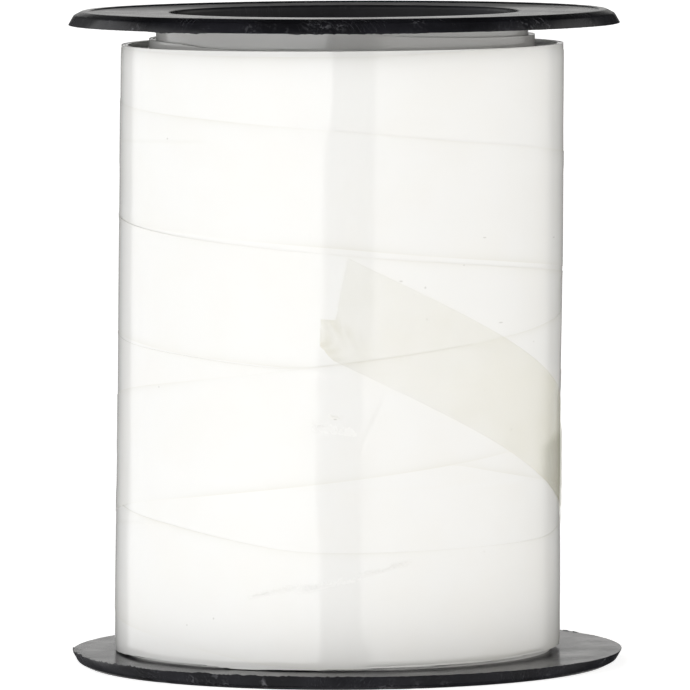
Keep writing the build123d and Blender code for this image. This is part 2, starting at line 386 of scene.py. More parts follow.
class Winding:
    """Heights, radii and layers of the wound ribbon, worked out once from the settings."""

    def __init__(self, settings):
        ribbon = settings.ribbon
        self.ribbon = ribbon
        route = np.array(WINDING_ROUTE)
        self.first = route[0, 0] * DEGREE
        fine = np.arange(self.first, route[-1, 0] * DEGREE, 0.5 * DEGREE)
        straight = np.interp(fine, route[:, 0] * DEGREE, route[:, 1] * MM)
        offsets = np.arange(-3 * ROUTE_SOFTENING, 3 * ROUTE_SOFTENING, 0.5 * DEGREE)
        weights = np.exp(-0.5 * (offsets / ROUTE_SOFTENING) ** 2)
        extra = len(weights) // 2
        softened = np.convolve(np.pad(straight, extra, mode="edge"), weights / weights.sum(), mode="same")
        self.route_angles = fine
        self.route_heights = softened[extra:-extra]
        random = np.random.default_rng(settings.seed)
        self.waves = wave_set(random, 12, (2, 8), 160, 0.5)
        self.ripples = wave_set(random, 16, (14, 46), 500, 0.4)

    def upper_edge(self, winding):
        """Height of the strip's upper edge at this winding angle."""
        return np.interp(winding, self.route_angles, self.route_heights)

    def lower_edge(self, winding):
        """Height of the strip's lower edge: the upper edge less the width, measured upright on the slope."""
        step = 0.5 * DEGREE
        climb = (self.upper_edge(winding + step) - self.upper_edge(winding - step)) / (2 * step)
        slope = climb / self.ribbon.pack_radius_high
        return self.upper_edge(winding) - self.ribbon.width * np.sqrt(1 + slope**2)

    def lean(self, height):
        """Sideways shift of the winding's middle, straight from its foot to its top."""
        share = (height - LOWER_FACE) / (COVER_TOP - LOWER_FACE)
        return self.ribbon.lean_low + share * (self.ribbon.lean_high - self.ribbon.lean_low)

    def relief(self, angle, height):
        """Slow waves round and up the winding, stronger lower down, and its upright bends.

        A bend is a tanh step less a straight slope over the full turn, so that it closes on itself.
        """
        angle, height = np.broadcast_arrays(angle, height)
        low_down = 0.25 + 0.75 * smooth_step((66 * MM - height) / (30 * MM))
        total = np.zeros(angle.shape)
        for size, offset, waves in ((3, 1, self.waves), (1.6, 0, self.ripples)):
            for around, upwards, phase, share in waves:
                total += share * size / (around + offset) * np.cos(around * angle + upwards * height + phase)
        total *= self.ribbon.unevenness * low_down / 2
        turned = (angle + 0.5 * math.pi) % FULL_TURN - 0.5 * math.pi  # from -90 to 270 degrees
        for middle, wide, drop, low, high in BENDS:
            window = smooth_step((height / MM - low) / 7) * smooth_step((high - height / MM) / 7)
            bend = np.tanh((turned / DEGREE - middle) / wide) - (turned / DEGREE - 90) / 180
            total -= drop * MM * window * bend
        return total

    def base_radius(self, angle, height):
        """Radius of the under layers: the cone less its depth, drawn in at the top and over the foot's gap."""
        share = (height - LOWER_FACE) / (COVER_TOP - LOWER_FACE)
        ribbon = self.ribbon
        nominal = ribbon.pack_radius_low + share * (ribbon.pack_radius_high - ribbon.pack_radius_low)
        top = smooth_step((height - (COVER_TOP - 2.2 * MM)) / (2.6 * MM)) * 0.05 * MM
        foot = smooth_step((LOWER_FACE + 1.3 * MM - height) / (1.3 * MM)) * 0.12 * MM
        gaps = np.array(FOOT_GAP)
        turned = (angle / DEGREE + 180) % 360 - 180
        gap_top = LOWER_FACE + np.interp(turned, gaps[:, 0], gaps[:, 1]) * MM
        foot = foot + smooth_step((gap_top - height) / (0.12 * MM) + 0.5) * 1.2 * MM
        return nominal - ribbon.under_depth + self.relief(angle, height) - top - foot

    def present(self, winding, last):
        """How far the strip has come up out of the layers under it, and 0 past its last winding angle."""
        begun = smooth_step((winding - self.first) / (60 * DEGREE))
        return begun * smooth_step((last - winding) / (1.5 * DEGREE))

    def cover(self, winding, height, last):
        """The share of a layer that the strip puts at this height: 1 on it, 0 one tent width beside it."""
        tent = self.ribbon.tent
        above = smooth_step((height - self.lower_edge(winding) + tent) / tent)
        below = smooth_step((self.upper_edge(winding) + tent - height) / tent)
        return above * below * self.present(winding, last)

    def layers_under(self, winding, height, last):
        """Layers of the outer turns under a point of the strip at this winding angle."""
        total = np.zeros(np.broadcast(winding, height).shape)
        earlier = winding - FULL_TURN
        while np.any(earlier > self.first):
            total = total + np.where(earlier > self.first, self.cover(earlier, height, last), 0)
            earlier = earlier - FULL_TURN
        return total


def strip_points(winding_of, winding, share, last, lift):
    """Outer and inner points of the strip, its uvs and its route, on a grid of winding angles and width shares.

    The radius is the base radius, plus one thickness for each layer under the point and one for the strip
    itself, plus lift, so that a turn stands on what it crosses and tents over the edges under it.
    """
    ribbon = winding_of.ribbon
    upper, lower = winding_of.upper_edge(winding), winding_of.lower_edge(winding)
    height = upper + (lower - upper) * share
    layers = winding_of.present(winding, NEVER) + winding_of.layers_under(winding, height, last)
    outer_radius = winding_of.base_radius(winding, height) + ribbon.thickness * layers + lift - 0.01 * MM
    shift = winding_of.lean(height)
    outer = placed(winding, outer_radius, height, shift)
    inner = placed(winding, outer_radius - 0.9 * ribbon.thickness, height, shift)
    along = winding * ribbon.pack_radius_high / ribbon.width + np.zeros_like(height)
    route = np.stack(np.broadcast_arrays(winding / DEGREE, height / MM), axis=-1)
    return outer, inner, np.stack((along, share + np.zeros_like(height)), axis=-1), route


def strip_shares(columns):
    """Shares across the strip, from 0 at its upper edge to 1 at its lower edge, closer together at both."""
    even = np.linspace(0, 1, columns)
    return even - 0.07 * np.sin(FULL_TURN * even)


def edge_grime(winding, share):
    """Faint grime along both cut edges, as decays from the edges whose strength wanders along the strip."""
    wander = 0.5 + 0.28 * np.sin(2.3 * winding + 0.5) + 0.22 * np.sin(6.1 * winding + 1.9)
    lower = np.exp(-(1 - share) / 0.035) * wander
    upper = np.exp(-share / 0.03) * (1 - wander) * 0.8
    return np.clip(lower + upper, 0, 1)


def edge_curl(winding, share):
    """The cut edges stand off the surface in long uneven stretches, a decay from each edge times waves.

    The upper edge is pressed down along PRESSED_EDGES.
    """
    near = np.exp(-share / 0.035) + np.exp(-(1 - share) / 0.035)
    waves = 0.5 + 0.3 * np.sin(7.3 * winding + 0.7) + 0.2 * np.sin(17.9 * winding + 1.4)
    degrees = winding / DEGREE
    pressed = 0
    for first, last in PRESSED_EDGES:
        pressed = pressed + smooth_step((degrees - first) / 8) * smooth_step((last - degrees) / 8)
    return 0.012 * MM * near * waves - 0.04 * MM * pressed * np.exp(-share / 0.03)


def winding_grid(first, last):
    """Winding angles, closer together at the front than behind."""
    count = int((last - first) / (1.0 * DEGREE))
    even = np.linspace(first, last, count)
    spaced = even - 0.4 * np.sin(even)
    return np.clip(spaced, first, last)


# ---------------------------------------------------------------- material helpers


def joined(tree, socket, value):
    """Links the socket to a value that is a socket itself, or sets it to a number, vector or colour."""
    if isinstance(value, bpy.types.NodeSocket):
        tree.links.new(value, socket)
    elif socket.type == "RGBA":
        socket.default_value = (*value, 1)
    else:
        socket.default_value = value


def add_node(tree, kind, **values):
    """A new node with its attributes set and its named inputs joined; names of inputs use _ for spaces."""
    made = tree.nodes.new(kind)
    for key, value in values.items():
        if hasattr(made, key):
            setattr(made, key, value)
        else:
            joined(tree, made.inputs[key.replace("_", " ")], value)
    return made


def math_node(tree, operation, *values):
    """A math node on values or sockets. Returns its output."""
    made = add_node(tree, "ShaderNodeMath", operation=operation)
    for socket, value in zip(made.inputs, values):
        joined(tree, socket, value)
    return made.outputs[0]


def times(tree, first, second):
    """The product of two values or sockets."""
    return math_node(tree, "MULTIPLY", first, second)


def plus(tree, first, second):
    """The sum of two values or sockets."""
    return math_node(tree, "ADD", first, second)


def minus(tree, first, second):
    """The first value or socket less the second."""
    return math_node(tree, "SUBTRACT", first, second)


def larger(tree, first, second):
    """The larger of two values or sockets."""
    return math_node(tree, "MAXIMUM", first, second)


def ramp(tree, value, low, high, out_low=0.0, out_high=1.0):
    """A smooth map of a value from low..high to out_low..out_high. Returns its output."""
    ends = {"From_Min": low, "From_Max": high, "To_Min": out_low, "To_Max": out_high}
    made = add_node(tree, "ShaderNodeMapRange", interpolation_type="SMOOTHSTEP", Value=value, **ends)
    return made.outputs["Result"]


def noise(tree, vector, **values):
    """A noise pattern on a vector, from 0 to 1. Returns its output."""
    return add_node(tree, "ShaderNodeTexNoise", Vector=vector, **values).outputs["Fac"]


def stretched(tree, vector, sizes):
    """A vector with its three parts multiplied by these sizes. Returns its output."""
    made = add_node(tree, "ShaderNodeVectorMath", operation="MULTIPLY")
    joined(tree, made.inputs[0], vector)
    joined(tree, made.inputs[1], sizes)
    return made.outputs["Vector"]


def axes(tree, vector):
    """The three parts of a vector."""
    return add_node(tree, "ShaderNodeSeparateXYZ", Vector=vector).outputs


def object_place(tree):
    """The place on the piece in metres."""
    return tree.nodes.new("ShaderNodeTexCoord").outputs["Object"]


def uv_place(tree, name):
    """The place on one of the piece's own UV maps."""
    return add_node(tree, "ShaderNodeUVMap", uv_map=name).outputs["UV"]


def mesh_value(tree, name):
    """A value that the piece's mesh holds at each point."""
    return add_node(tree, "ShaderNodeAttribute", attribute_name=name).outputs["Fac"]


def mixed_colour(tree, factor, first, second):
    """A colour between two, each a colour or a socket. Returns its output."""
    made = add_node(tree, "ShaderNodeMix", data_type="RGBA")
    for number, value in ((0, factor), (6, first), (7, second)):
        joined(tree, made.inputs[number], value)
    return made.outputs[2]


def new_group(name, numbers, results):
    """A shader node group on a vector, with number inputs and their defaults, and number outputs.

    Returns the group, the sockets that hold its inputs and the sockets that take its outputs.
    """
    tree = bpy.data.node_groups.new(name, "ShaderNodeTree")
    tree.interface.new_socket(name="Vector", in_out="INPUT", socket_type="NodeSocketVector")
    for label, default in numbers.items():
        socket = tree.interface.new_socket(name=label, in_out="INPUT", socket_type="NodeSocketFloat")
        socket.default_value = default
    for label in results:
        tree.interface.new_socket(name=label, in_out="OUTPUT", socket_type="NodeSocketFloat")
    return tree, tree.nodes.new("NodeGroupInput").outputs, tree.nodes.new("NodeGroupOutput").inputs


def place_group(tree, group, **values):
    """The group in a material, with each named input joined. Returns its outputs."""
    made = add_node(tree, "ShaderNodeGroup", node_tree=group)
    for key, value in values.items():
        joined(tree, made.inputs[key], value)
    return made.outputs


def built_once(collection, name):
    """Builds a node group or material under this name only when there is none yet."""

    def wrapped(build):
        @functools.wraps(build)
        def found_or_built(*values):
            return getattr(bpy.data, collection).get(name) or build(name, *values)

        return found_or_built

    return wrapped


@built_once("node_groups", "Dust Specks")
def dust_group(name):
    """Small dust specks: cells of a Voronoi pattern, each with a speck of its own size or none."""
    tree, given, wanted = new_group(name, {"Scale": 200.0, "Amount": 0.3}, ["Mask"])
    made = add_node(tree, "ShaderNodeTexVoronoi", feature="F1", Vector=given["Vector"], Scale=given["Scale"])
    cells = made.outputs
    shades = add_node(tree, "ShaderNodeSeparateColor", Color=cells["Color"]).outputs
    chosen = math_node(tree, "LESS_THAN", shades["Red"], given["Amount"])
    size = ramp(tree, shades["Green"], 0.0, 1.0, 0.01, 0.05)
    speck = ramp(tree, minus(tree, size, cells["Distance"]), 0.0, 0.02)
    tree.links.new(times(tree, speck, chosen), wanted["Mask"])
    return tree


@built_once("node_groups", "Fine Scratches")
def scratch_group(name):
    """Fine scratches: thin bands of a noise pattern stretched along one direction, kept in some patches."""
    tree, given, wanted = new_group(name, {"Scale": 60.0, "Turn": 0.0, "Amount": 0.5}, ["Mask"])
    turned = add_node(
        tree, "ShaderNodeVectorRotate", rotation_type="Z_AXIS", Vector=given["Vector"], Angle=given["Turn"]
    )
    drawn_out = stretched(tree, turned.outputs["Vector"], (1.0, 14.0, 1.0))
    pattern = noise(tree, drawn_out, Scale=given["Scale"], Detail=2.0, Roughness=0.6, Distortion=0.4)
    thin = ramp(tree, math_node(tree, "ABSOLUTE", minus(tree, pattern, 0.5)), 0.0, 0.012, 1.0, 0.0)
    patches = ramp(tree, noise(tree, given["Vector"], Scale=90.0, Detail=1.0), 0.52, 0.66)
    tree.links.new(times(tree, times(tree, thin, patches), given["Amount"]), wanted["Mask"])
    return tree


@built_once("node_groups", "Drawn Film")
def film_group(name):
    """Drawn film: streaks along the strip, a faint orange peel and its cut edges, all from its own UV map."""
    tree, given, wanted = new_group(name, {"Streaks": 1.0}, ["Height", "Tone", "Edge"])
    place = given["Vector"]
    streaks = noise(tree, stretched(tree, place, (0.35, 22.0, 1.0)), Scale=1.0, Detail=4.0, Roughness=0.65)
    peel = noise(tree, place, Scale=7.0, Detail=2.0)
    height = plus(tree, times(tree, streaks, given["Streaks"]), times(tree, peel, 0.8))
    tree.links.new(height, wanted["Height"])
    tree.links.new(ramp(tree, noise(tree, place, Scale=1.6, Detail=3.0), 0.35, 0.7), wanted["Tone"])
    from_middle = math_node(tree, "ABSOLUTE", minus(tree, axes(tree, place)["Y"], 0.5))
    tree.links.new(ramp(tree, from_middle, 0.493, 0.5), wanted["Edge"])
    return tree


@built_once("node_groups", "Placed Creases")
def crease_group(name):
    """Creases and marks at set places, from the route map: winding angle in degrees and height in mm.

    A crease is a smooth ridge along a straight line between two places, which wanders with a noise pattern.
    Height is in metres. Soil is where dirt has settled, Scuff is where the film has lost its gloss, and Marks
    are the dust and small dents, each an ellipse with a ragged border.
    """
    tree, given, wanted = new_group(name, {}, ["Height", "Soil", "Scuff", "Marks"])
    winding, level, _ = axes(tree, given["Vector"])
    whole = math_node(tree, "FLOOR", times(tree, plus(tree, winding, 180.0), 1 / 360))
    angle = minus(tree, winding, times(tree, whole, 360.0))
    crumbs = noise(tree, given["Vector"], Scale=0.75, Detail=4.0, Roughness=0.62)
    wander = minus(tree, crumbs, 0.5)
    gathered = dict.fromkeys(("Height", "Soil", "Scuff", "Marks"))

    def gather(label, value, join):
        gathered[label] = value if gathered[label] is None else join(tree, gathered[label], value)

    for first, low, last, high, out, half, rough, dirt in CREASES:
        share = times(tree, minus(tree, angle, float(first)), 1 / (last - first))
        middle = plus(tree, times(tree, share, high - low), low)
        middle = plus(tree, middle, times(tree, wander, 2.4 * rough))
        off = math_node(tree, "ABSOLUTE", minus(tree, level, middle))
        ridge = ramp(tree, off, 0.0, half * 1.4, 1.0, 0.0)
        ends = times(tree, ramp(tree, share, 0.0, 0.18), ramp(tree, share, 0.82, 1.0, 1.0, 0.0))
        ridge = times(tree, ridge, ends)
        if rough > CRUMPLED:
            ridge = times(tree, ridge, ramp(tree, crumbs, 0.36, 0.60, 0.3, 1.2))
            gather("Scuff", ridge, larger)
        gather("Height", times(tree, ridge, out * MM), plus)
        gather("Soil", times(tree, ridge, dirt), larger)
    for where, up, long, wide in MARKS:
        across = times(tree, minus(tree, angle, float(where)), FILM_PER_DEGREE / long)
        along = times(tree, minus(tree, level, float(up)), 1 / wide)
        squares = plus(tree, times(tree, across, across), times(tree, along, along))
        squares = plus(tree, squares, times(tree, wander, 1.2))
        gather("Marks", ramp(tree, squares, 0.5, 1.1, 1.0, 0.0), larger)
    for label, value in gathered.items():
        tree.links.new(value, wanted[label])
    return tree


def new_material(name):
    """An empty node material. Returns the material, its tree and its shader's inputs."""
    material = bpy.data.materials.new(name)
    material.use_nodes = True
    return material, material.node_tree, material.node_tree.nodes["Principled BSDF"].inputs


def bumped(tree, shader, height, strength, distance):
    """Feeds a height to the shader's normal."""
    bump = add_node(tree, "ShaderNodeBump", Strength=strength, Distance=distance, Height=height)
    tree.links.new(bump.outputs["Normal"], shader["Normal"])


@built_once("materials", "Ribbon Film")
def ribbon_film(name, settings):
    """Glossy white lacquered film with faint streaks, cut edges, creases, scuffs and a few dust specks."""
    material, tree, shader = new_material(name)
    film = settings.ribbon.film_colour
    drawn = place_group(tree, film_group(), Vector=uv_place(tree, "Surface"), Streaks=1.0)
    specks = place_group(tree, dust_group(), Vector=object_place(tree), Scale=260.0, Amount=0.10)
    creased = place_group(tree, crease_group(), Vector=uv_place(tree, "Route"))
    warmer = (film[0] * 0.995, film[1] * 0.99, film[2] * 0.98)
    toned = mixed_colour(tree, drawn["Tone"], film, warmer)
    edged = mixed_colour(tree, drawn["Edge"], toned, settings.ribbon.edge_colour)
    grime = larger(tree, mesh_value(tree, "grime"), creased["Soil"])
    grimy = mixed_colour(tree, times(tree, grime, 0.19), edged, (0.42, 0.39, 0.26))
    dots = larger(tree, specks["Mask"], creased["Marks"])
    dusty = mixed_colour(tree, times(tree, dots, 0.32), grimy, (0.28, 0.27, 0.24))
    tree.links.new(dusty, shader["Base Color"])
    gloss = ramp(tree, drawn["Tone"], 0.0, 1.0, 0.075, 0.11)
    tree.links.new(plus(tree, gloss, times(tree, creased["Scuff"], 0.45)), shader["Roughness"])
    shader["IOR"].default_value = 1.5
    fine = times(tree, drawn["Height"], 0.005 * MM)
    bumped(tree, shader, plus(tree, fine, creased["Height"]), 1.0, 1.0)
    return material


@built_once("materials", "Tape Film")
def tape_film(name, settings):
    """Clear adhesive tape gone slightly yellow, with a milky look where it is creased, and a painted shadow in
    dark olive where it stands off.
    """
    material, tree, shader = new_material(name)
    surface = uv_place(tree, "Surface")
    drawn = place_group(tree, film_group(), Vector=surface, Streaks=0.5)
    specks = place_group(tree, dust_group(), Vector=object_place(tree), Scale=300.0, Amount=0.22)
    loose, creased = mesh_value(tree, "loose"), mesh_value(tree, "creased")
    milky = mixed_colour(tree, creased, settings.tape.film_colour, (0.80, 0.76, 0.62))
    # Where the tape stands off the ribbon, its colour turns dark olive and more opaque: a painted shadow for
    # the shade under the lifted tape.
    loose_painted_shadow = mixed_colour(tree, loose, milky, (0.34, 0.32, 0.17))
    edged = mixed_colour(tree, drawn["Edge"], loose_painted_shadow, (0.40, 0.36, 0.22))
    dusty = mixed_colour(tree, specks["Mask"], edged, (0.18, 0.16, 0.12))
    tree.links.new(dusty, shader["Base Color"])
    aslant = add_node(tree, "ShaderNodeLayerWeight", Blend=0.35).outputs["Facing"]
    seen = ramp(tree, noise(tree, surface, Scale=3.0, Detail=3.0), 0.3, 0.7, 0.026, 0.048)
    for cause, share in ((aslant, 0.20), (creased, 0.25), (loose, 0.13), (drawn["Edge"], 0.05)):
        seen = plus(tree, seen, times(tree, cause, share))
    seen = larger(tree, seen, times(tree, specks["Mask"], 0.6))
    front = minus(tree, 1.0, tree.nodes.new("ShaderNodeNewGeometry").outputs["Backfacing"])
    tree.links.new(math_node(tree, "MINIMUM", times(tree, seen, front), 0.9), shader["Alpha"])
    tree.links.new(ramp(tree, loose, 0.0, 1.0, 0.10, 0.22), shader["Roughness"])
    shader["IOR"].default_value = 1.48
    bumped(tree, shader, drawn["Height"], 0.2, 0.02 * MM)
    return material


@built_once("materials", "Reel Plastic")
def reel_plastic(name, settings):
    """Scuffed black moulding: satin grain, scratches across it, bruised nicks that turned pale, and dust."""
    material, tree, shader = new_material(name)
    place, worn = object_place(tree), mesh_value(tree, "worn")
    surface = uv_place(tree, "Surface")
    across = place_group(tree, scratch_group(), Vector=surface, Scale=260.0, Turn=1.45, Amount=0.8)
    slanting = place_group(tree, scratch_group(), Vector=place, Scale=170.0, Turn=0.6, Amount=0.7)
    specks = place_group(tree, dust_group(), Vector=place, Scale=420.0, Amount=0.16)
    grain = noise(tree, place, Scale=1500.0, Detail=3.0, Roughness=0.6)
    clouds = noise(tree, place, Scale=110.0, Detail=4.0, Roughness=0.6)
    fraying = noise(tree, place, Scale=1900.0, Detail=2.0)
    plastic = settings.reel.plastic_colour
    greyer = (plastic[0] * 1.9, plastic[1] * 1.9, plastic[2] * 2.0)
    toned = mixed_colour(tree, ramp(tree, clouds, 0.35, 0.7), plastic, greyer)
    marks = larger(tree, across["Mask"], slanting["Mask"])
    marked = mixed_colour(tree, times(tree, marks, 0.35), toned, (0.10, 0.10, 0.11))
    frayed = times(tree, worn, ramp(tree, fraying, 0.50, 0.62))
    bruised = mixed_colour(tree, frayed, marked, settings.reel.whitened_colour)
    dusty = mixed_colour(tree, times(tree, specks["Mask"], 0.6), bruised, (0.42, 0.40, 0.36))
    tree.links.new(dusty, shader["Base Color"])
    _, back, up = axes(tree, place)
    dull = times(tree, ramp(tree, back, 0.0, 0.03), ramp(tree, up, 0.08, 0.09))
    rough = ramp(tree, clouds, 0.3, 0.7, 0.17, 0.27)
    rough = plus(tree, plus(tree, rough, times(tree, dull, 0.30)), times(tree, marks, 0.15))
    tree.links.new(rough, shader["Roughness"])
    shader["IOR"].default_value = 1.26
    bumped(tree, shader, minus(tree, times(tree, grain, 0.5), marks), 0.35, 0.03 * MM)
    return material


def floor_finish(settings):
    """Pale matt floor with a barely visible unevenness."""
    material, tree, shader = new_material("Pale Floor")
    pale = settings.stage.floor_colour
    clouds = noise(tree, object_place(tree), Scale=3.0, Detail=2.0)
    tone = mixed_colour(tree, clouds, pale, [0.995 * part for part in pale])
    tree.links.new(tone, shader["Base Color"])
    shader["Roughness"].default_value = 0.9
    shader["Specular IOR Level"].default_value = 0.1
    tree.links.new(tone, shader["Emission Color"])
    shader["Emission Strength"].default_value = settings.stage.floor_glow
    return material


def finish_piece(made, material, body, slot, *nodes):
    """Gives a new piece its material and body, and hides the CAD nodes that it stands for. slot is not used."""
    made.data.materials.append(material)
    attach(made, body)
    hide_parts(*nodes)


# ---------------------------------------------------------------- pieces


def reel_outline(reel, with_socket):
    """Half section of a reel half with its rim at height 0, as (radius, height)."""
    bore, hub = reel.bore_radius, reel.bore_radius + reel.hub_wall
    spigot = bore + reel.spigot_wall
    crest_out = FLANGE_RADIUS - reel.crest_inset
    crest_in = crest_out - reel.crest_width
    corners = [
        ((bore, reel.web_sink), 0.6),
        ((crest_in - 0.2 * MM, reel.web_sink), 0.15),
        ((crest_in, 0), 0.15),
        ((crest_out, 0), 0.2),
        ((FLANGE_RADIUS - reel.crease_inset, reel.crease_drop), 0.25),
        ((FLANGE_RADIUS, LOWER_FACE), 0.12),
        ((hub, LOWER_FACE), 0.05),
        ((hub, SEAM_HEIGHT), 0.05),
    ]
    if with_socket:
        socket = spigot + 0.05 * MM
        corners += [
            ((socket, SEAM_HEIGHT), 0.05),
            ((socket, SPIGOT_END - 0.1 * MM), 0.05),
            ((bore, SPIGOT_END - 0.1 * MM), 0.05),
        ]
    else:
        reach = 2 * SEAM_HEIGHT - SPIGOT_END
        corners += [
            ((spigot, SEAM_HEIGHT), 0.05),
            ((spigot, reach), 0.2),
            ((bore, reach), 0.05),
        ]
    return rounded_outline([c for c, _ in corners], [r * MM for _, r in corners], 1.5 * MM)


def reel_half(settings, name, with_socket, seed, flash_places):
    """A moulded reel half: its outline turned round the axis, with nicks in its rim and flash at its edge.

    Each nick is a Gaussian dent in angle and height. The flash is a ragged fin that stands off the edge
    towards the ribbon, high inside flash_places.
    """
    reel = settings.reel
    segments = REEL_SEGMENTS
    outline = reel_outline(reel, with_socket)
    angle = np.arange(segments)[:, None] * FULL_TURN / segments
    radius = outline[None, :, 0] + np.zeros_like(angle)
    height = outline[None, :, 1] + np.zeros_like(angle)
    random = np.random.default_rng(settings.seed + seed)
    worn = np.zeros_like(radius)
    for _ in range(NICKS):
        where = random.uniform(0, FULL_TURN)
        wide, tall = random.uniform(0.25, 1.1) * MM, random.uniform(0.2, 0.7) * MM
        at = random.choice([0.15, 0.45, 1.0, 1.7]) * MM
        depth = reel.nick_depth * random.uniform(0.15, 1.0) ** 2
        apart = (angle - where + math.pi) % FULL_TURN - math.pi
        dent = np.exp(-((apart * FLANGE_RADIUS / wide) ** 2) - ((height - at) / tall) ** 2)
        dent = dent * smooth_step((radius - (FLANGE_RADIUS - 3.2 * MM)) / (1 * MM))
        radius = radius - depth * dent
        worn = np.maximum(worn, dent * random.uniform(0.2, 1.0) ** 3)
    fin = 0.6 * ragged(segments, random, 0) ** 2 + 0.9 * ragged(segments, random, 4) ** 3
    turned = (np.degrees(angle[:, 0]) + 180) % 360 - 180
    envelope = np.full(segments, 0.10)
    for first, last, share in flash_places:
        inside = smooth_step((turned - first) / 2.5) * smooth_step((last - turned) / 2.5)
        envelope = np.maximum(envelope, share * inside)
    fin = (0.25 + fin) * envelope * reel.flash_height
    outwards, upwards = (radius - FLANGE_RADIUS) / (0.09 * MM), (height - LOWER_FACE) / (0.12 * MM)
    at_edge = np.exp(-(outwards**2) - upwards**2)
    height = height + at_edge * fin[:, None]
    worn = np.maximum(worn, 0.45 * at_edge * ragged(segments, random, 2)[:, None] ** 3)
    if not with_socket:
        height = REEL_HEIGHT - height
    steps = np.hypot(*(np.roll(outline, -1, axis=0) - outline).T)
    travelled = np.concatenate(([0], np.cumsum(steps)[:-1]))
    uvs = np.stack(np.broadcast_arrays(angle * FLANGE_RADIUS, travelled[None, :]), axis=-1)
    points = placed(angle, radius, height).reshape(-1, 3)
    quads = grid_faces(segments, len(outline), wrap_rows=True, wrap_columns=True)
    return make_object(name, points, quads, uvs.reshape(-1, 2), 35 * DEGREE, worn=worn)


def layered_top(segments, outside, inside, height, count, depth, random):
    """Top face of wound layers as fine steps: each layer's edge stands at its own height, which changes slowly
    round the reel. Radii go from the outside in. Returns (radius, height) arrays with an angle axis first."""
    angle = np.arange(segments)[:, None] * FULL_TURN / segments
    edges = np.linspace(0, 1, count + 1)
    share = np.stack((edges[:-1] + 0.0005, edges[1:] - 0.0005), axis=-1).reshape(1, -1)
    radius = outside + (inside - outside) * share
    wave = random.integers(1, 5, count)
    phase = random.uniform(0, FULL_TURN, count)
    level = random.uniform(0.0, 1.0, count) + 0.35 * np.sin(wave * angle + phase)
    level = np.repeat(level, 2, axis=1)
    return np.broadcast_to(radius, level.shape), height - depth * np.clip(level, 0, 1.3)


def ring_object(name, angle, radius, height, shift, inner, low, unit):
    """A closed ring from its outside and top, given as (angle, outline) arrays, its inner wall and its foot."""
    segments = radius.shape[0]
    ones = np.ones((segments, 1))
    inner = np.broadcast_to(inner, (segments, 1)) if np.ndim(inner) else inner * ones
    radius = np.concatenate((radius, inner, inner), axis=1)
    height = np.concatenate((height, height[:, -1:], low * ones), axis=1)
    shift = np.concatenate((shift, np.zeros((segments, 2))), axis=1)
    points = placed(angle, radius, height, shift)
    steps = np.hypot(np.diff(radius[0]), np.diff(height[0]))
    travelled = np.concatenate(([0], np.cumsum(steps)))
    middle = np.broadcast_to(travelled[None, :] / unit, radius.shape) % 0.8 + 0.1
    uvs = np.stack((np.broadcast_to(angle * INNER_RADIUS / unit, radius.shape), middle), axis=-1)
    quads = grid_faces(segments, radius.shape[1], wrap_rows=True, wrap_columns=True)
    return make_object(name, points.reshape(-1, 3), quads, uvs.reshape(-1, 2), 35 * DEGREE)


def straight_ring(settings, name, outer, inner, top, layers, depth, seed):
    """A ring of wound layers with an upright wall. outer and top give its radius and upper edge for each angle.

    The wall is moved sideways by the winding's lean at the top, and not at all at the foot.
    """
    random = np.random.default_rng(settings.seed + seed)
    segments = RING_SEGMENTS
    angle = np.arange(segments)[:, None] * FULL_TURN / segments
    high, outside = top(angle), outer(angle)
    share = np.linspace(0, 1, 30)[None, :] ** 0.6
    wall_height = LOWER_FACE + (high - LOWER_FACE) * share
    ripple = 0.02 * MM * np.sin(5 * angle + 90 * wall_height / outside) + 0.015 * MM * np.sin(11 * angle)
    wall_radius = outside - 0.03 * MM + ripple
    top_radius, top_height = layered_top(segments, outside - 0.05 * MM, inner, high, layers, depth, random)
    radius = np.concatenate((wall_radius, top_radius), axis=1)
    height = np.concatenate((wall_height, top_height), axis=1)
    fade = (radius - inner) / (outside - inner) * smooth_step((height - 70 * MM) / (18 * MM))
    return ring_object(
        name, angle, radius, height, settings.ribbon.lean_high * fade, inner, LOWER_FACE, settings.ribbon.width
    )


class RibbonReelOperator:
    """What every operator of the reel shares."""

    bl_options = {"REGISTER", "UNDO"}

    @property
    def settings(self):
        return bpy.context.scene.ribbon_reel


